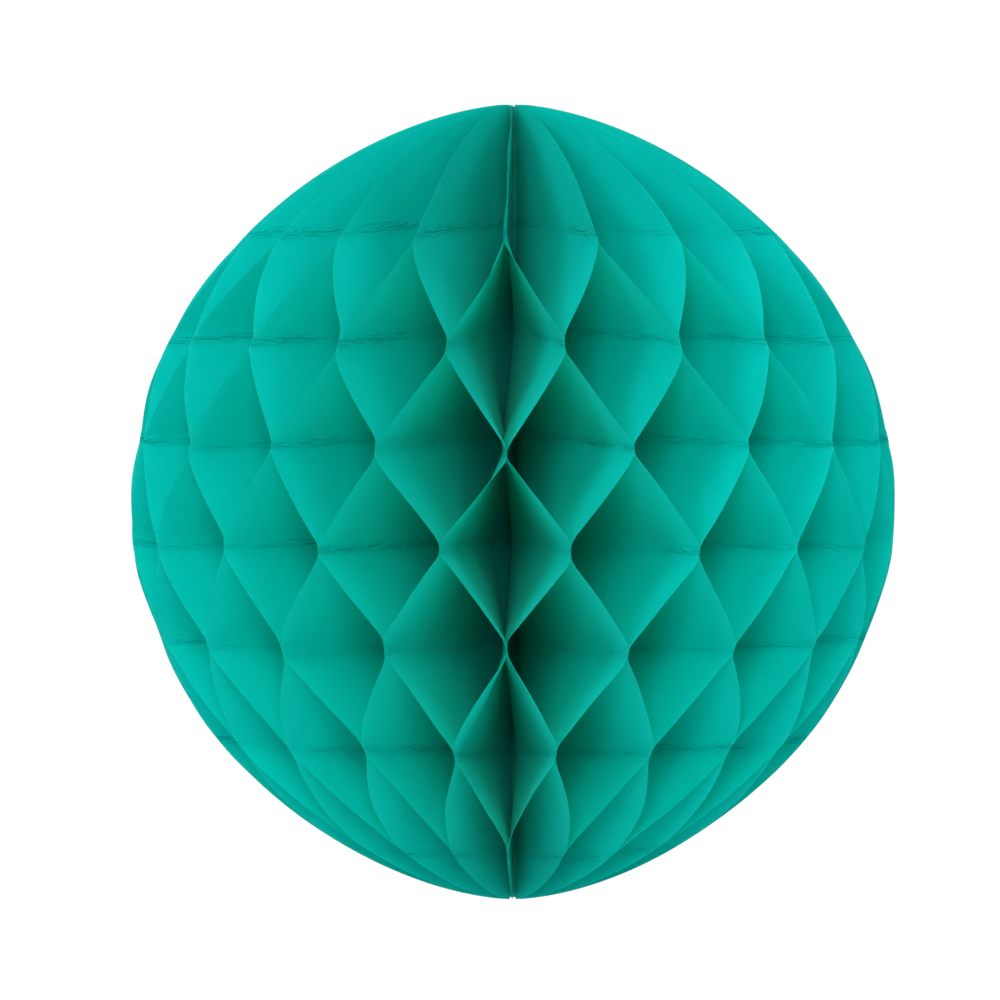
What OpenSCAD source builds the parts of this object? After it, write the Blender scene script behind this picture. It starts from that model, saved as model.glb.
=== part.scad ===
// Paper honeycomb ball: a fan of 38 tissue leaves glued to one another in staggered rows,
// bound along a spine and closed into a ball by two card covers that meet back to back.
// The spine stands on the Z axis, the cover seam faces +Y, and the origin is the ball's centre.

/* [Ball] */
// Height of the ball from pole to pole
ball_height = 200; // [100:5:400]
// Diameter of the ball at its widest
ball_width = 193; // [100:1:400]
// Fullness of the leaf outline: 0.5 is an ellipse, more is more pointed at the poles
outline_power = 0.6; // [0.5:0.02:0.7]

/* [Tissue leaves] */
// Thickness of one tissue leaf
leaf_t = 0.1; // [0.05:0.01:0.2]
// Clearance between neighbouring leaves where they are glued
glue_gap = 0.05; // [0.03:0.01:0.1]

/* [Glue rows] */
// Height of one glue line
glue_h = 4.5; // [2:0.5:8]
// Distance between two glue rows
row_pitch = 25.2; // [20:0.2:28]
// Height of the middle glue row above the centre of the ball
row_rise = -9.1; // [-12:0.1:12]

/* [Card covers] */
// Thickness of each card cover
card_t = 0.3; // [0.2:0.05:0.5]
// How far the covers' rims stay inside the leaves' rims
card_setback = 1.5; // [0.5:0.5:5]
// Distance from the spine's axis to the covers' straight edges, so that they fold flat
card_inset = 8; // [7:0.5:15]

/* [Closure pads] */
// Thickness of the adhesive pads between the covers
pad_t = 0.1; // [0.05:0.05:0.3]
// Width of each pad, from the spine outwards
pad_w = 12; // [6:1:20]
// Height of each pad
pad_h = 30; // [10:1:40]
// Clearance between a pad and each cover's face
pad_clearance = 0.02; // [0.01:0.01:0.05]

/* [Spine binding] */
// Outer radius of the bound spine
spine_r = 3.4; // [3.4:0.1:5]
// Radius of the hole that the hanging thread runs through
thread_bore_r = 1; // [0.5:0.1:1.5]
// Clearance between the spine and the leaves' inner edges
spine_clearance = 0.1; // [0.05:0.05:0.3]

/* [Hidden] */
LEAF_COUNT = 38;
LEAF_NAMES = [for (k = [1 : LEAF_COUNT]) str("leaf_", k < 10 ? "0" : "", k)];

TISSUE = [0, 0.62, 0.56];
CARD = [0, 0.56, 0.50];
PAD = [0.86, 0.84, 0.76];
BINDING = [0, 0.45, 0.40];

ROW_COUNT = 7;            // glue rows from pole to pole; the first and last are both even rows
MIDDLE_ROW = (ROW_COUNT - 1) / 2;
RAMP_STEPS = 5;           // levels between two glue lines
POLE_STEPS = 9;           // levels between the end glue line and the pole
PAD_COUNT = 3;
PAD_SPREAD = 0.75;        // distance between the pads, in half heights of the ball
OUTLINE_STEPS = 60;       // steps along a cover card's curved edge
ROUND = 48;               // sides of a circle

half_height = ball_height / 2;
half_width = ball_width / 2;
cell_angle = 360 / LEAF_COUNT;
seam_half = pad_t / 2 + pad_clearance;
card_in_face = seam_half + card_t;
// Distance from a plane between two cells to a leaf's middle beside it, and from the seam's
// middle to the middle of the leaf beside a card cover
leaf_room = (leaf_t + glue_gap) / 2;
seam_room = card_in_face + glue_gap + leaf_t / 2;
// The leaves start outside the spine, and where the end cells are wide enough for leaf and card
leaf_in = max(spine_r + spine_clearance, (leaf_room + seam_room) / sin(cell_angle));
binding_r = leaf_in - spine_clearance;
spine_top = height_at(binding_r);
pole_w = 1;               // width of a leaf at the poles

// Radius of the leaves' rim at a height, and the height where the rim has a given radius
function rim(z) = half_width * pow(max(0, 1 - pow(z / half_height, 2)), outline_power);
function height_at(r) = half_height * sqrt(1 - pow(r / half_width, 1 / outline_power));

// Height of a glue row; row 0 is the top one
function row_z(row) = row_rise + row_pitch * (MIDDLE_ROW - row);

// Heights where a leaf's surface is drawn, from the bottom pole to the top one
function pole_levels(from, to) =
    [for (i = [1 : POLE_STEPS]) from + (to - from) * sin(90 * i / POLE_STEPS)];
function ramp_levels(from, to) =
    [for (i = [1 : RAMP_STEPS]) from + (to - from) * i / RAMP_STEPS];
function reversed(list) = [for (i = [len(list) - 1 : -1 : 0]) list[i]];
function row_levels(row) = concat(
    [row_z(row) + glue_h / 2],
    row == 0 ? [] : ramp_levels(row_z(row) + glue_h / 2, row_z(row - 1) - glue_h / 2)
);
function leaf_levels(pole) = concat(
    reversed(pole_levels(row_z(ROW_COUNT - 1) - glue_h / 2, -pole)),
    [row_z(ROW_COUNT - 1) - glue_h / 2],
    [for (row = [ROW_COUNT - 1 : -1 : 0]) for (z = row_levels(row)) z],
    pole_levels(row_z(0) + glue_h / 2, pole)
);

// Which neighbour a leaf leans to at a height: 1 is the next leaf and -1 the one before.
// It stays flat at each glue line, swings over between two of them, and past the end rows
// it stays with the neighbour that it is glued to there.
function side_of_row(k, row) = (row + k) % 2 == 1 ? 1 : -1;
function swing(u) = (u - cos(180 * u) / 2 + 1 / 2) / 2;
function row_place(z) = MIDDLE_ROW - (z - row_rise) / row_pitch;
function ramp_share(place) = let (flat = glue_h / row_pitch / 2, part = place - floor(place))
    min(1, max(0, (part - flat) / (1 - 2 * flat)));
function lean(k, z) = let (place = min(ROW_COUNT - 1, max(0, row_place(z))), row = floor(place))
    side_of_row(k, row) * (1 - 2 * swing(ramp_share(place)));

// Angle that a leaf keeps from the plane between two cells, so that it stays beside its
// neighbour there, or beside the card cover on the fan's first and last planes
function edge_room(r, plane) =
    asin((plane == 0 || plane == LEAF_COUNT ? seam_room : leaf_room) / r);

// A point on a leaf's middle surface, in the leaf's own frame with its cell centred on X
function leaf_point(k, r, z) = let (
        low = -cell_angle / 2 + edge_room(r, k - 1),
        high = cell_angle / 2 - edge_room(r, k),
        turn = low + (high - low) * (1 + lean(k, z)) / 2
    ) [r * cos(turn), r * sin(turn), z];

// Turns a shape from the fan's X axis to its place around the spine; the fan starts at +Y
module fan_place(angle) {
    rotate([0, 0, 90 + angle]) children();
}

module leaf(k) {
    levels = leaf_levels(height_at(leaf_in + pole_w));
    last = len(levels) - 1;
    thick = [0, leaf_t / 2, 0];
    points = [for (z = levels)
        let (inner = leaf_point(k, leaf_in, z), outer = leaf_point(k, rim(z), z))
        each [inner - thick, outer - thick, outer + thick, inner + thick]];
    // Both faces of the sheet are split along the same diagonal, so that it stays one thickness
    sides = [for (i = [0 : last - 1]) for (j = [0 : 3])
        let (a = 4 * i + j, b = 4 * i + (j + 1) % 4)
        each j == 0 ? [[a, a + 4, b + 4], [a, b + 4, b]] : [[a, a + 4, b], [b, a + 4, b + 4]]];
    caps = [[0, 1, 2], [0, 2, 3], [4 * last, 4 * last + 2, 4 * last + 1],
        [4 * last, 4 * last + 3, 4 * last + 2]];
    color(TISSUE) fan_place(cell_angle * (k - 0.5)) polyhedron(points, concat(sides, caps));
}

// Half of the ball's outline, drawn back from the rim and cut off straight beside the spine
module card_outline() {
    top = height_at(card_inset + card_setback);
    rim_points = [for (i = [1 : OUTLINE_STEPS - 1])
        let (z = top * sin(90 * (2 * i / OUTLINE_STEPS - 1)))
        [max(card_inset, rim(z) - card_setback), z]];
    polygon(concat([[card_inset, -top]], rim_points, [[card_inset, top]]));
}

module card(angle, from) {
    fan_place(angle) translate([0, from, 0]) rotate([90, 0, 0]) mirror([0, 0, 1])
        linear_extrude(card_t) card_outline();
}

module left_cover_card() {
    color(CARD) card(0, seam_half);
}

module right_cover_card() {
    color(CARD) card(0, -card_in_face);
}

// Three double-sided adhesive pads on the left cover, which hold the ball open; each one's
// outer corner lies as far inside the card's edge as that lies inside the leaves' rims
module closure_pads() {
    color(PAD) for (i = [0 : PAD_COUNT - 1]) {
        z = (i - (PAD_COUNT - 1) / 2) * half_height * PAD_SPREAD;
        out = rim(abs(z) + pad_h / 2) - 2 * card_setback - pad_w;
        fan_place(0) translate([out, -pad_t / 2, z - pad_h / 2]) cube([pad_w, pad_t, pad_h]);
    }
}

module spine_binding() {
    color(BINDING) difference() {
        cylinder(h = 2 * spine_top, r = binding_r, center = true, $fn = ROUND);
        cylinder(h = 3 * spine_top, r = thread_bore_r, center = true, $fn = ROUND);
    }
}

spine_binding();
left_cover_card();
right_cover_card();
closure_pads();
for (k = [1 : LEAF_COUNT]) leaf(k);
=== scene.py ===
"""Paper honeycomb ball: the looks of the tissue leaves, the card covers, the pads and the spine."""
import math

import bpy
import numpy as np
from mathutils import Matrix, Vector


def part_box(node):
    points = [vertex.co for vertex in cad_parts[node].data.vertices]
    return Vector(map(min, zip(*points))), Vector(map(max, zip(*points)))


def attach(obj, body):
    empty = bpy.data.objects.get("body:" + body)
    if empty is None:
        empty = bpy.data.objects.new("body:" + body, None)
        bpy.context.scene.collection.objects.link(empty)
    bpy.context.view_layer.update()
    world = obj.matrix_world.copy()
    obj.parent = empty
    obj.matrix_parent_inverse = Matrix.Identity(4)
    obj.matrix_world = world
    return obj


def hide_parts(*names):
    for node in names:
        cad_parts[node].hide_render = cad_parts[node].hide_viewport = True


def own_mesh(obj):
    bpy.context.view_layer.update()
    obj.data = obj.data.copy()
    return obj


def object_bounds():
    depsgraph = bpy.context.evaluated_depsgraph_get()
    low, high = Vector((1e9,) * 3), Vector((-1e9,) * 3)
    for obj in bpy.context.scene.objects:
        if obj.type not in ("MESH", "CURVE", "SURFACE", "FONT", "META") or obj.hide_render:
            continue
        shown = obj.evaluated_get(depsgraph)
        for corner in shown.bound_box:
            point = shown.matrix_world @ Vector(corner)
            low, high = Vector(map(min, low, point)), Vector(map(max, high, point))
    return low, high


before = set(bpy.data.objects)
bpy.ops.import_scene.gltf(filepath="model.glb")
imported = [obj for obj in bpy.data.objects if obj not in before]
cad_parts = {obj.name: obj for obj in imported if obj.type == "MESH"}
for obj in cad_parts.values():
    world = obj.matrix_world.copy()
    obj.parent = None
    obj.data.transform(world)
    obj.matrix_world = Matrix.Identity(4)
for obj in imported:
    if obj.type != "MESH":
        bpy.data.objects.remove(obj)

MM = 0.001
CAD_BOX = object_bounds()

# ---------------------------------------------------------------- dimensions
LEAF_COUNT = 38
ROW_COUNT = 7
MIDDLE_ROW = (ROW_COUNT - 1) / 2
CELL = 2 * math.pi / LEAF_COUNT
HALF_HEIGHT = (CAD_BOX[1].z - CAD_BOX[0].z) / 2 + 0.6 * MM
HALF_WIDTH = (CAD_BOX[1].x - CAD_BOX[0].x) / 2
OUTLINE_POWER = 0.6
LEAF_IN = 2.5 * MM  # inner edge of the leaves, from the spine's axis
SHEET_APART = 0.05 * MM  # half the distance between two sheets where they are glued

GLUE_HEIGHT = 1.0 * MM  # height of the strip where two leaves are glued flat
WRINKLE_HEIGHT = 1.0 * MM  # how far the fine wrinkles reach from the middle of a glue line
RIM_HIGHLIGHT_REACH = 0.4 * MM  # how far the painted highlight along the leaves' cut rim reaches in from the rim
ROW_RISE = -9.1 * MM  # height of the middle row
PITCH_SPINE = 26.4 * MM  # distance between rows at the spine, and at the widest rim
PITCH_RIM = 24.6 * MM
SLACK = 2.4 * MM  # how far the slack spine bows to one side
SEAM_HELD = math.radians(70)  # angle from the seam within which the cards hold the leaves back from bowing
CORNER = 0.14  # share of a ramp that bends at each of its ends
FOLD = 0.45 * MM  # height of the slight diagonal fold across each ramp
RIPPLE = 0.16 * MM  # how far the cut rim wavers in and out
SETTLE = 30 * MM  # radius inside which the small turns of the joints fade out
FLAT_NEAR_SPINE = 40 * MM  # and the sheets' buckles
COLUMNS = 32  # columns of points from the spine to the rim, and the last ones' distances from the rim
RIM_COLUMNS = [0.9 * MM, 0.35 * MM, 0]
LEVELS = 12  # levels of points along the straight part of a ramp, and to each pole
POLE_LEVELS = 26

CARD_THICK = 0.3 * MM
CARD_SETBACK = 1.5 * MM  # the cards' edge, inside the leaves' rim
CARD_BEVEL = 0.08 * MM
CARD_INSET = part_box("left_cover_card")[0].y
SEAM_HALF = -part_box("left_cover_card")[1].x
BORE = 1.0 * MM  # radius of the thread's bore
rng = np.random.default_rng(11)


def rim(z):
    """Radius of the leaves' rim at height z."""
    return HALF_WIDTH * np.maximum(0, 1 - (z / HALF_HEIGHT) ** 2) ** OUTLINE_POWER


def height_at(r):
    """Height where the rim has radius r."""
    return HALF_HEIGHT * math.sqrt(1 - (r / HALF_WIDTH) ** (1 / OUTLINE_POWER))


def swing(u, first, last):
    """From 0 to 1 along a ramp: straight, with a bend of a given share of it at each end."""
    u = np.clip(u, 0, 1)
    low = np.minimum(u, first)
    high = np.maximum(u - (1 - last), 0)
    rise = low**2 / (2 * first) + np.maximum(u - first, 0) - high**2 / (2 * last)
    return rise / (1 - (first + last) / 2)


# ---------------------------------------------------------------- hand-made irregularity
def small_shifts(spread, covers=0.0):
    """One value for each joint between leaves and each glue row; the joints to the covers get less."""
    values = rng.normal(0, spread, (LEAF_COUNT + 1, ROW_COUNT))
    values[[0, LEAF_COUNT]] *= covers
    return np.clip(values, -2 * spread, 2 * spread)


# The fan isn't spread quite evenly: its cells are narrower just left of the front than beside it
FRONT = (LEAF_COUNT - 3) / 2
JOINT = np.arange(LEAF_COUNT + 1)[:, None]
UNEVEN = (0.6 - 0.9 * np.exp(-(((JOINT - FRONT) / 2.5) ** 2))) * np.sin(math.pi * JOINT / LEAF_COUNT)
JOINT_TURN = small_shifts(math.radians(0.3)) + np.radians(UNEVEN)
JOINT_RISE = small_shifts(0.45 * MM, 0.5)
JOINT_RISE[LEAF_COUNT // 2][2] -= 1.6 * MM  # the front joint sags a little at its third glue line
BEND = rng.uniform(0.04, 0.19, (LEAF_COUNT + 1, ROW_COUNT))  # how gently the rims bend at each glue line


def buckles(count, longest, shortest, size):
    """Soft waves over a sheet, as (wave vector, phase, height) for each joint between leaves."""
    made = []
    for _ in range(LEAF_COUNT + 1):
        angle = rng.uniform(0, math.pi, count)
        number = 2 * math.pi / rng.uniform(shortest, longest, count)
        height = size * rng.uniform(0.4, 1, count) / count**0.5
        made.append((number * np.cos(angle), number * np.sin(angle), rng.uniform(0, 6.28, count), height))
    return made


SOFT = buckles(5, 60 * MM, 22 * MM, 0.42 * MM)
FINE = buckles(6, 14 * MM, 6 * MM, 0.05 * MM)


def wave_height(waves, r, z):
    """Height of a joint's waves, fading towards the spine."""
    total = sum(h * np.sin(a * r + b * z + p) for a, b, p, h in zip(*waves))
    return total * np.clip(r / FLAT_NEAR_SPINE, 0, 1)


# ---------------------------------------------------------------- a tissue leaf
def joint_of(k, row):
    """The joint that leaf k is glued at in a row, and the side that it lies on."""
    return (k, 1) if (row + k) % 2 == 1 else (k - 1, -1)


def room(r, joint):
    """Angle that a sheet keeps from the plane between two cells; a card's thickness takes more."""
    card = 0
    if joint in (0, LEAF_COUNT):
        card = (SEAM_HALF + CARD_THICK) * np.clip(1.1 * r / CARD_INSET, 0, 1) ** 2
    return np.arcsin(np.minimum(0.9, (SHEET_APART + card) / r))


def level_places():
    """Where a leaf's levels lie, counted in glue rows from the top one, closest together at the folds."""
    flat = GLUE_HEIGHT / 2 / PITCH_RIM
    bend = CORNER * np.array([0, 0.15, 0.33, 0.6, 1])
    ramp = [*bend, *np.linspace(CORNER, 1 - CORNER, LEVELS)[1:-1], *(1 - bend[1:])]
    places = [row + flat + (1 - 2 * flat) * u for row in range(ROW_COUNT - 1) for u in ramp]
    places += [row + at for row in range(ROW_COUNT) for at in (-flat / 3, flat / 3)]
    top = height_at(LEAF_IN + 0.6 * MM)
    last = ROW_COUNT - 1
    above = MIDDLE_ROW - (top - ROW_RISE) / PITCH_SPINE
    below = MIDDLE_ROW + (top + ROW_RISE) / PITCH_SPINE
    ease = np.sin(np.linspace(0, math.pi / 2, POLE_LEVELS))
    places += list(-flat + (above + flat) * ease)
    places += list(last + flat + (below - last - flat) * ease)
    return np.array(sorted(set(np.round(places, 6))))


def leaf_surface(k):
    """Points of leaf k as (level, column, xyz), with its glue-line share, its share of the painted highlight along
    the rim, and its place laid flat.
    """
    place = level_places()
    rows = [place[0], *range(ROW_COUNT), place[-1]]
    shifts = [JOINT_RISE[joint_of(k, row)[0]][row] for row in range(ROW_COUNT)]
    rise = np.interp(place, rows, [0, *shifts, 0])

    def height(r):
        pitch = PITCH_SPINE + (PITCH_RIM - PITCH_SPINE) * (r / HALF_WIDTH) ** 2
        return ROW_RISE + (pitch.T * (MIDDLE_ROW - place) + rise).T

    edge = np.full(len(place), HALF_WIDTH)
    for _ in range(30):
        edge = 0.5 * edge + 0.5 * np.maximum(rim(height(edge)), LEAF_IN + 0.4 * MM)
    edge += RIPPLE * np.sin(place * 6.8 + 1.7 * k) * edge / HALF_WIDTH
    body = np.linspace(0, 1, COLUMNS) ** 0.9
    inner = np.maximum(edge - RIM_COLUMNS[0], LEAF_IN + 0.2 * MM)
    r = LEAF_IN + np.outer(inner - LEAF_IN, body)
    margins = [inner + (edge - inner) * (1 - gap / RIM_COLUMNS[0]) for gap in RIM_COLUMNS[1:]]
    r = np.concatenate([r, np.stack(margins, -1)], 1)
    z = height(r)

    flat = GLUE_HEIGHT / 2 / PITCH_RIM
    turns, fields = [], []
    for row in range(ROW_COUNT):
        joint, side = joint_of(k, row)
        settle = np.clip(r / SETTLE, 0, 1)
        turns.append(side * (CELL / 2 - room(r, joint)) + JOINT_TURN[joint][row] * settle)
        on_card = joint in (0, LEAF_COUNT)
        fields.append(0 * r if on_card else wave_height(SOFT[joint], r, z) + wave_height(FINE[joint], r, z))
    turn, field = turns[0].copy(), fields[0].copy()
    outward = np.clip(r / HALF_WIDTH, 0, 1)
    for row in range(ROW_COUNT - 1):
        u = ((place - row - flat) / (1 - 2 * flat))[:, None] + 0 * r
        at_rims = [BEND[joint_of(k, end)[0]][end] for end in (row, row + 1)]
        part = swing(u, *(CORNER + (at_rim - CORNER) * outward for at_rim in at_rims))
        turn += (turns[row + 1] - turns[row]) * part
        field += (fields[row + 1] - fields[row]) * part
        fold_at = 0.06 + 0.88 * (outward if (row + k) % 4 < 2 else 1 - outward)
        ridge = np.minimum(u / fold_at, (1 - u) / (1 - fold_at))
        eased = np.clip(np.minimum(u, 1 - u) / CORNER, 0, 1)
        field += FOLD * ridge * eased * outward * (1 if (row + k) % 3 else -1)
    off_row = np.abs(place - np.clip(np.round(place), 0, ROW_COUNT - 1)) * PITCH_RIM
    glue = np.exp(-((off_row[:, None] / WRINKLE_HEIGHT) ** 2)) + 0 * r
    # share of the painted highlight along the cut rim, fading inward from it
    rim_highlight_share = np.exp(-(edge[:, None] - r) / RIM_HIGHLIGHT_REACH)
    points = np.stack([r * np.cos(turn), r * np.sin(turn) + field, z], -1)
    return points, {"glue_line": glue, "rim": rim_highlight_share}, np.stack([r, z], -1)


def grid_faces(rows, columns):
    """Quads of a grid of points, in order."""
    corner = np.arange(rows * columns).reshape(rows, columns)
    return np.stack([corner[:-1, :-1], corner[:-1, 1:], corner[1:, 1:], corner[1:, :-1]], -1).reshape(-1, 4)


def new_piece(name, points, faces, material, smooth=True):
    """A mesh object with one material."""
    mesh = bpy.data.meshes.new(name)
    mesh.from_pydata(np.asarray(points).reshape(-1, 3).tolist(), [], [list(map(int, f)) for f in faces])
    mesh.polygons.foreach_set("use_smooth", [smooth] * len(mesh.polygons))
    mesh.materials.append(material)
    mesh.update()
    piece = bpy.data.objects.new(name, mesh)
    bpy.context.collection.objects.link(piece)
    return piece


def fan_turn(points, angle):
    """Points turned from the fan's X axis to their place round the spine; the fan starts at +Y."""
    c, s = math.cos(math.pi / 2 + angle), math.sin(math.pi / 2 + angle)
    x, y, z = np.moveaxis(np.asarray(points), -1, 0)
    return np.stack([c * x - s * y, s * x + c * y, z], -1)


def slack(points):
    """The slack spine lets the middle of every leaf bow a little to one side; rims, seam and spine stay in place."""
    x, y, z = np.moveaxis(points, -1, 0)
    r = np.hypot(x, y)
    along = np.cos(z / HALF_HEIGHT * math.pi / 2)
    share = np.clip((r - LEAF_IN) / (0.12 * HALF_WIDTH), 0, 1) * np.clip((1 - r / HALF_WIDTH) / 0.88, 0, 1)
    from_seam = np.clip(np.arctan2(np.abs(x), y) / SEAM_HELD, 0, 1)
    bowed = points.copy()
    bowed[..., 0] -= SLACK * share * along * from_seam**2 * (3 - 2 * from_seam)
    return bowed


def tissue_leaf(k, material):
    """Leaf k on its own body."""
    name = f"leaf_{k:02d}"
    middle = CELL * (k - 0.5)
    surface, shares, flat = leaf_surface(k)
    faces = grid_faces(*surface.shape[:2])
    piece = new_piece(f"tissue_{name}", slack(fan_turn(surface, middle)), faces, material)
    mesh = piece.data
    for kind, share in shares.items():
        shade = mesh.attributes.new(kind, "FLOAT", "POINT")
        shade.data.foreach_set("value", np.clip(share, 0, 1).astype(np.float32).ravel())
    uv = mesh.uv_layers.new(name="flat_sheet")
    corner = np.zeros(len(mesh.loops), np.int32)
    mesh.loops.foreach_get("vertex_index", corner)
    uv.data.foreach_set("uv", (flat.reshape(-1, 2)[corner] + [0, HALF_HEIGHT]).astype(np.float32).ravel())
    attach(piece, f"{name}_fan")
    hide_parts(name)
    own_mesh(piece)
    return piece


# ---------------------------------------------------------------- covers, pads and spine
def card_cover(name, body, side, material):
    """A half-disc card with softly rounded edges, on one side of the seam."""
    top = height_at(CARD_INSET + CARD_SETBACK)
    steps = 96
    rise = top * np.sin(np.linspace(-math.pi / 2, math.pi / 2, steps))
    outer = np.maximum(rim(rise) - CARD_SETBACK, CARD_INSET + 0.05 * MM)
    columns = 24
    layers = []
    bevelled = [(0, CARD_BEVEL), (CARD_BEVEL, 0), (CARD_THICK - CARD_BEVEL, 0), (CARD_THICK, CARD_BEVEL)]
    for depth, inset in bevelled:
        share = np.linspace(0, 1, columns)
        r = CARD_INSET + inset + np.outer(outer - CARD_INSET - 2 * inset, share)
        z = np.repeat((rise * (1 - inset / top))[:, None], columns, 1)
        layers.append(np.stack([r, np.full_like(r, side * (SEAM_HALF + depth)), z], -1))
    count = steps * columns
    points = np.concatenate([layer.reshape(-1, 3) for layer in layers])
    corner = np.arange(count).reshape(steps, columns)
    border = np.concatenate([corner[0, :-1], corner[:-1, -1], corner[-1, :0:-1], corner[:0:-1, 0]])
    faces = [list(f) for f in grid_faces(steps, columns)]
    faces += [[i + 3 * count for i in f[::-1]] for f in grid_faces(steps, columns)]
    for layer in range(3):
        for a, b in zip(border, np.roll(border, -1)):
            low, high = layer * count, (layer + 1) * count
            faces.append([b + low, a + low, a + high, b + high])
    used = sorted({i for f in faces for i in f})
    renumber = {old: new for new, old in enumerate(used)}
    faces = [[renumber[i] for i in (f if side > 0 else f[::-1])] for f in faces]
    piece = new_piece(name, fan_turn(points[used], 0), faces, material, smooth=False)
    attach(piece, body)
    return piece


def adhesive_pads(material):
    """Three thin pads with rounded corners and a slightly uneven edge, where the CAD pads are."""
    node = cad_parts["closure_pads"]
    points = np.array([v.co for v in node.data.vertices])
    levels = np.unique(np.round(points[:, 2], 5))
    verts, faces = [], []
    for low, high in zip(levels[::2], levels[1::2]):
        here = points[(points[:, 2] > low - MM) & (points[:, 2] < high + MM)]
        x_low, y_low = here[:, :2].min(0)
        x_high, y_high = here[:, :2].max(0)
        around = 64
        angle = np.linspace(0, 2 * math.pi, around, endpoint=False)
        square = 8
        reach = 1 / (np.abs(np.cos(angle)) ** square + np.abs(np.sin(angle)) ** square) ** (1 / square)
        reach *= 1 + rng.normal(0, 0.006, around) - 0.012
        y = (y_low + y_high) / 2 + reach * np.cos(angle) * (y_high - y_low) / 2
        z = (low + high) / 2 + reach * np.sin(angle) * (high - low) / 2
        first = len(verts)
        for x in (x_low, x_high):
            verts += [(x, b, c) for b, c in zip(y, z)]
        ring = list(range(around))
        faces.append([first + i for i in ring[::-1]])
        faces.append([first + around + i for i in ring])
        for i in ring:
            j = (i + 1) % around
            faces.append([first + i, first + j, first + around + j, first + around + i])
    piece = new_piece("closure_pad_tape", verts, faces, material, smooth=False)
    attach(piece, "spine_and_left_cover")
    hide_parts("closure_pads")
    return piece


def spine(material):
    """The rolled tissue margins round the thread's bore: a small fold for each leaf, narrower at both ends."""
    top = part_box("spine_binding")[1].z
    around, levels = 144, 160
    angle = np.linspace(0, 2 * math.pi, around, endpoint=False)
    z = np.linspace(-top, top, levels)
    twist = 0.6 * np.sin(z * 22)
    folds = np.abs(np.sin(LEAF_COUNT / 2 * (angle[None, :] + twist[:, None])))
    lumps = 0.12 * MM * np.sin(z * 410)[:, None] * np.cos(3 * angle + 1)[None, :]
    end = np.clip((top - np.abs(z)) / (3 * MM), 0, 1)[:, None] ** 0.5
    r = (1.55 + 0.45 * end) * MM + 0.32 * MM * folds * end + lumps * end
    height = np.repeat(z[:, None], around, 1)
    outer = np.stack([r * np.cos(angle), r * np.sin(angle), height], -1)
    inner_r = BORE * (1 + 0.03 * folds)
    inner = np.stack([inner_r * np.cos(angle), inner_r * np.sin(angle), height], -1)
    count = around * levels
    faces = []
    for i in range(levels - 1):
        for j in range(around):
            a, b = i * around + j, i * around + (j + 1) % around
            faces.append([a, b, b + around, a + around])
            faces.append([a + around + count, b + around + count, b + count, a + count])
    for j in range(around):
        k = (j + 1) % around
        faces.append([k, j, j + count, k + count])
        last = (levels - 1) * around
        faces.append([last + j, last + k, last + k + count, last + j + count])
    points = np.concatenate([outer.reshape(-1, 3), inner.reshape(-1, 3)])
    piece = new_piece("rolled_spine", points, faces, material)
    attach(piece, "spine_and_left_cover")
    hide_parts("spine_binding")
    return piece


# ---------------------------------------------------------------- materials
class Nodes:
    """A short way to build a node tree."""

    def __init__(self, name):
        self.material = bpy.data.materials.new(name)
        self.material.use_nodes = True
        self.tree = self.material.node_tree
        self.tree.nodes.clear()

    def add(self, kind, inputs=None, **settings):
        node = self.tree.nodes.new(kind)
        for key, value in settings.items():
            setattr(node, key, value)
        for key, value in (inputs or {}).items():
            if isinstance(value, bpy.types.NodeSocket):
                self.tree.links.new(value, node.inputs[key])
            else:
                node.inputs[key].default_value = value
        return node

    def ramp(self, value, stops):
        node = self.add("ShaderNodeValToRGB", {"Fac": value})
        for i, (at, colour) in enumerate(stops):
            stop = node.color_ramp.elements[i] if i < 2 else node.color_ramp.elements.new(at)
            stop.position, stop.color = at, (*colour, 1)
        return node.outputs["Color"]

    def noise(self, vector, scale, detail=3.0, roughness=0.5, distortion=0.0):
        wanted = {"Vector": vector, "Scale": scale, "Detail": detail}
        wanted |= {"Roughness": roughness, "Distortion": distortion}
        return self.add("ShaderNodeTexNoise", wanted).outputs["Fac"]

    def maths(self, operation, a, b):
        return self.add("ShaderNodeMath", {0: a, 1: b}, operation=operation).outputs[0]

    def clamped(self, operation, a, b):
        return self.add("ShaderNodeMath", {0: a, 1: b}, operation=operation, use_clamp=True).outputs[0]

    def stretched(self, vector, scale, rotation=(0, 0, 0)):
        wanted = {"Vector": vector, "Scale": scale, "Rotation": rotation}
        return self.add("ShaderNodeMapping", wanted).outputs["Vector"]


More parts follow.
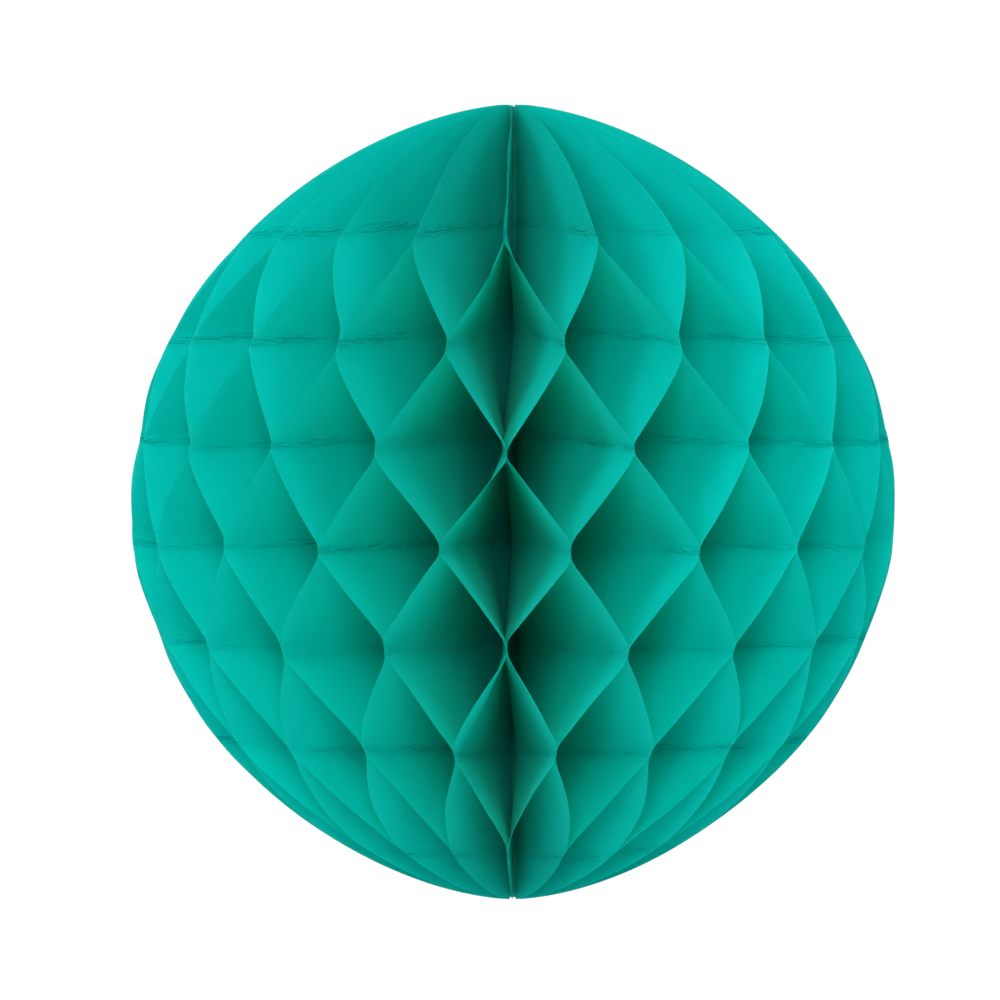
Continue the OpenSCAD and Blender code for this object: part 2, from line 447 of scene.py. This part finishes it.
def tissue_material():
    """Thin dyed tissue: fibres, fine slanted wrinkles beside the glue lines, light coming through, and a painted
    highlight along the rim.
    """
    n = Nodes("teal_tissue")
    flat = n.add("ShaderNodeUVMap", uv_map="flat_sheet").outputs["UV"]
    place = n.add("ShaderNodeTexCoord").outputs["Object"]
    glue = n.add("ShaderNodeAttribute", attribute_name="glue_line").outputs["Fac"]
    at_rim = n.add("ShaderNodeAttribute", attribute_name="rim").outputs["Fac"]
    fibres = n.noise(n.stretched(flat, (0.6, 2.2, 1), (0, 0, 0.5)), 1000, 4, 0.65)
    cloud = n.noise(place, 34, 4, 0.55)
    slanted = n.stretched(flat, (0.17, 1.2, 1), (0, 0, 0.17))
    uneven = n.noise(slanted, 700, 2, 0.55, 0.5)
    off_middle = n.maths("ABSOLUTE", n.maths("SUBTRACT", uneven, 0.5), 0)
    ridges = n.clamped("SUBTRACT", 1, n.maths("MULTIPLY", off_middle, 7))
    here = n.clamped("MULTIPLY", n.maths("SUBTRACT", n.noise(place, 26, 1), 0.36), 5)
    wrinkles = n.maths("MULTIPLY", n.maths("MULTIPLY", ridges, glue), here)
    crumple = n.noise(n.stretched(flat, (0.5, 1, 1), (0, 0, 0.7)), 160, 3, 0.5, 0.3)
    mottled = n.maths("ADD", n.maths("MULTIPLY", fibres, 0.35), n.maths("MULTIPLY", cloud, 0.65))
    front = n.ramp(mottled, [(0.32, (0.0, 0.62, 0.585)), (0.68, (0.0, 0.715, 0.685))])
    # painted highlight: near the rim the colour is mixed towards a light teal, in flecks, standing for the light
    # that the cut edges catch
    flecks = n.clamped("MULTIPLY", n.maths("SUBTRACT", n.noise(flat, 420, 3, 0.6), 0.4), 3)
    pale = n.maths("MULTIPLY", n.maths("MULTIPLY", at_rim, flecks), 0.5)
    highlight_mix = {0: pale, 6: front, 7: (0.06, 0.86, 0.82, 1)}
    front = n.add("ShaderNodeMix", highlight_mix, data_type="RGBA").outputs[2]
    behind = n.ramp(mottled, [(0.32, (0.0, 0.80, 0.52)), (0.68, (0.0, 0.90, 0.62))])
    height = n.maths("ADD", wrinkles, n.maths("MULTIPLY", fibres, 0.06))
    height = n.maths("ADD", height, n.maths("MULTIPLY", crumple, 0.4))
    bump = n.add("ShaderNodeBump", {"Height": height, "Strength": 0.8, "Distance": 0.0005})
    rough = n.maths("ADD", n.maths("MULTIPLY", fibres, 0.18), 0.52)
    sheet = n.add(
        "ShaderNodeBsdfPrincipled",
        {
            "Base Color": front,
            "Roughness": rough,
            "Specular IOR Level": 0.03,
            "Sheen Weight": 0.02,
            "Sheen Roughness": 0.45,
            "Sheen Tint": (0.75, 1.0, 0.97, 1),
            "Normal": bump.outputs["Normal"],
        },
    )
    through = n.add("ShaderNodeBsdfTranslucent", {"Color": behind, "Normal": bump.outputs["Normal"]})
    both = n.add("ShaderNodeMixShader", {0: 0.30, 1: sheet.outputs[0], 2: through.outputs[0]})
    n.add("ShaderNodeOutputMaterial", {"Surface": both.outputs[0]})
    return n.material


def plain_paper(name, dark, light, roughness, fibre_scale, bump_distance):
    """Dyed card or rolled tissue: mottled colour, fibres and a soft tooth."""
    n = Nodes(name)
    place = n.add("ShaderNodeTexCoord").outputs["Object"]
    fibres = n.noise(n.stretched(place, (fibre_scale, fibre_scale, fibre_scale * 0.25)), 1.0, 5, 0.7)
    cloud = n.noise(place, 45, 4, 0.6)
    mottled = n.maths("ADD", n.maths("MULTIPLY", fibres, 0.5), n.maths("MULTIPLY", cloud, 0.5))
    colour = n.ramp(mottled, [(0.3, dark), (0.7, light)])
    bump = n.add("ShaderNodeBump", {"Height": fibres, "Strength": 0.4, "Distance": bump_distance})
    rough = n.maths("ADD", n.maths("MULTIPLY", fibres, 0.2), roughness)
    wanted = {"Base Color": colour, "Roughness": rough, "Specular IOR Level": 0.3}
    sheet = n.add("ShaderNodeBsdfPrincipled", {**wanted, "Normal": bump.outputs["Normal"]})
    n.add("ShaderNodeOutputMaterial", {"Surface": sheet.outputs[0]})
    return n.material


# ---------------------------------------------------------------- the object
tissue = tissue_material()
card = plain_paper("teal_card", (0.0, 0.30, 0.25), (0.004, 0.40, 0.34), 0.6, 900, 0.0001)
rolled = plain_paper("rolled_tissue", (0.0, 0.22, 0.17), (0.0, 0.38, 0.31), 0.65, 1500, 0.0002)
tape = plain_paper("pad_tape", (0.66, 0.62, 0.50), (0.80, 0.77, 0.66), 0.5, 1200, 0.00005)

for k in range(1, LEAF_COUNT + 1):
    tissue_leaf(k, tissue)
left = card_cover("left_card", "spine_and_left_cover", 1, card)
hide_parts("left_cover_card")
right = card_cover("right_card", "right_cover", -1, card)
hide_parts("right_cover_card")
adhesive_pads(tape)
spine(rolled)


# ---------------------------------------------------------------- camera, floor and light
FLOOR_BELOW = 1.35  # from the ball's centre, in metres
FLOOR_RADIUS = 10


def aimed(thing, place, target):
    """Puts an object at a place, looking at a target."""
    thing.location = place
    thing.rotation_mode = "QUATERNION"
    thing.rotation_quaternion = (Vector(target) - Vector(place)).to_track_quat("-Z", "Y")


def camera(azimuth, elevation, distance, frame_width, aside, up):
    """A long lens at the given angle, whose frame is so wide at the ball's centre."""
    data = bpy.data.cameras.new("camera")
    data.sensor_width = 36
    data.lens = data.sensor_width * distance / frame_width
    data.clip_start, data.clip_end = 0.05, 60
    made = bpy.data.objects.new("camera", data)
    bpy.context.collection.objects.link(made)
    a, e = math.radians(azimuth), math.radians(elevation)
    back = Vector((math.sin(a) * math.cos(e), -math.cos(a) * math.cos(e), math.sin(e)))
    right_way = Vector((math.cos(a), math.sin(a), 0))
    target = right_way * aside + Vector((0, 0, up))
    aimed(made, target + back * distance, target)
    bpy.context.scene.camera = made


def area_light(name, place, size, power):
    """A square white light, aimed at the ball."""
    data = bpy.data.lights.new(name, "AREA")
    data.size, data.energy = size, power
    made = bpy.data.objects.new(name, data)
    bpy.context.collection.objects.link(made)
    aimed(made, place, (0, 0, 0))


def studio():
    """A pale floor well below the hanging ball, white surroundings brighter above, and three soft lights."""
    world = bpy.data.worlds.new("studio")
    world.use_nodes = True
    tree = world.node_tree
    shown, lit = tree.nodes["Background"], tree.nodes.new("ShaderNodeBackground")
    for background in (shown, lit):
        background.inputs["Color"].default_value = (1, 1, 1, 1)
    shown.inputs["Strength"].default_value = 1.05
    way = tree.nodes.new("ShaderNodeTexCoord").outputs["Generated"]
    axes, brighter = tree.nodes.new("ShaderNodeSeparateXYZ"), tree.nodes.new("ShaderNodeMath")
    brighter.operation = "MULTIPLY_ADD"
    brighter.inputs[1].default_value, brighter.inputs[2].default_value = 0.17, 0.375
    tree.links.new(way, axes.inputs[0])
    tree.links.new(axes.outputs["Z"], brighter.inputs[0])
    tree.links.new(brighter.outputs[0], lit.inputs["Strength"])
    path, either = tree.nodes.new("ShaderNodeLightPath"), tree.nodes.new("ShaderNodeMixShader")
    tree.links.new(path.outputs["Is Camera Ray"], either.inputs[0])
    tree.links.new(lit.outputs[0], either.inputs[1])
    tree.links.new(shown.outputs[0], either.inputs[2])
    tree.links.new(either.outputs[0], tree.nodes["World Output"].inputs["Surface"])
    bpy.context.scene.world = world
    n = Nodes("pale_floor")
    shade = n.add("ShaderNodeBsdfPrincipled", {"Base Color": (0.93, 0.93, 0.93, 1), "Roughness": 0.9})
    n.add("ShaderNodeOutputMaterial", {"Surface": shade.outputs[0]})
    around = np.linspace(0, 2 * math.pi, 96, endpoint=False)
    level = np.full_like(around, -FLOOR_BELOW)
    corners = np.stack([FLOOR_RADIUS * np.cos(around), FLOOR_RADIUS * np.sin(around), level], -1)
    floor = new_piece("floor", corners, [range(len(around))], n.material)
    area_light("left", (-1.8, -2.0, 1.5), 1.0, 20)
    area_light("right", (1.8, -2.0, 1.3), 1.0, 7)
    area_light("front", (-0.1, -2.8, 0.8), 0.9, 32)
    bpy.context.scene.view_settings.view_transform = "Standard"
    bpy.context.scene.cycles.max_bounces = 16
    bpy.context.scene.cycles.diffuse_bounces = 12
    bpy.context.scene.cycles.transmission_bounces = 12


studio()
camera(azimuth=1.2, elevation=1.7, distance=2.6, frame_width=0.2525, aside=-3.3 * MM, up=0.5 * MM)
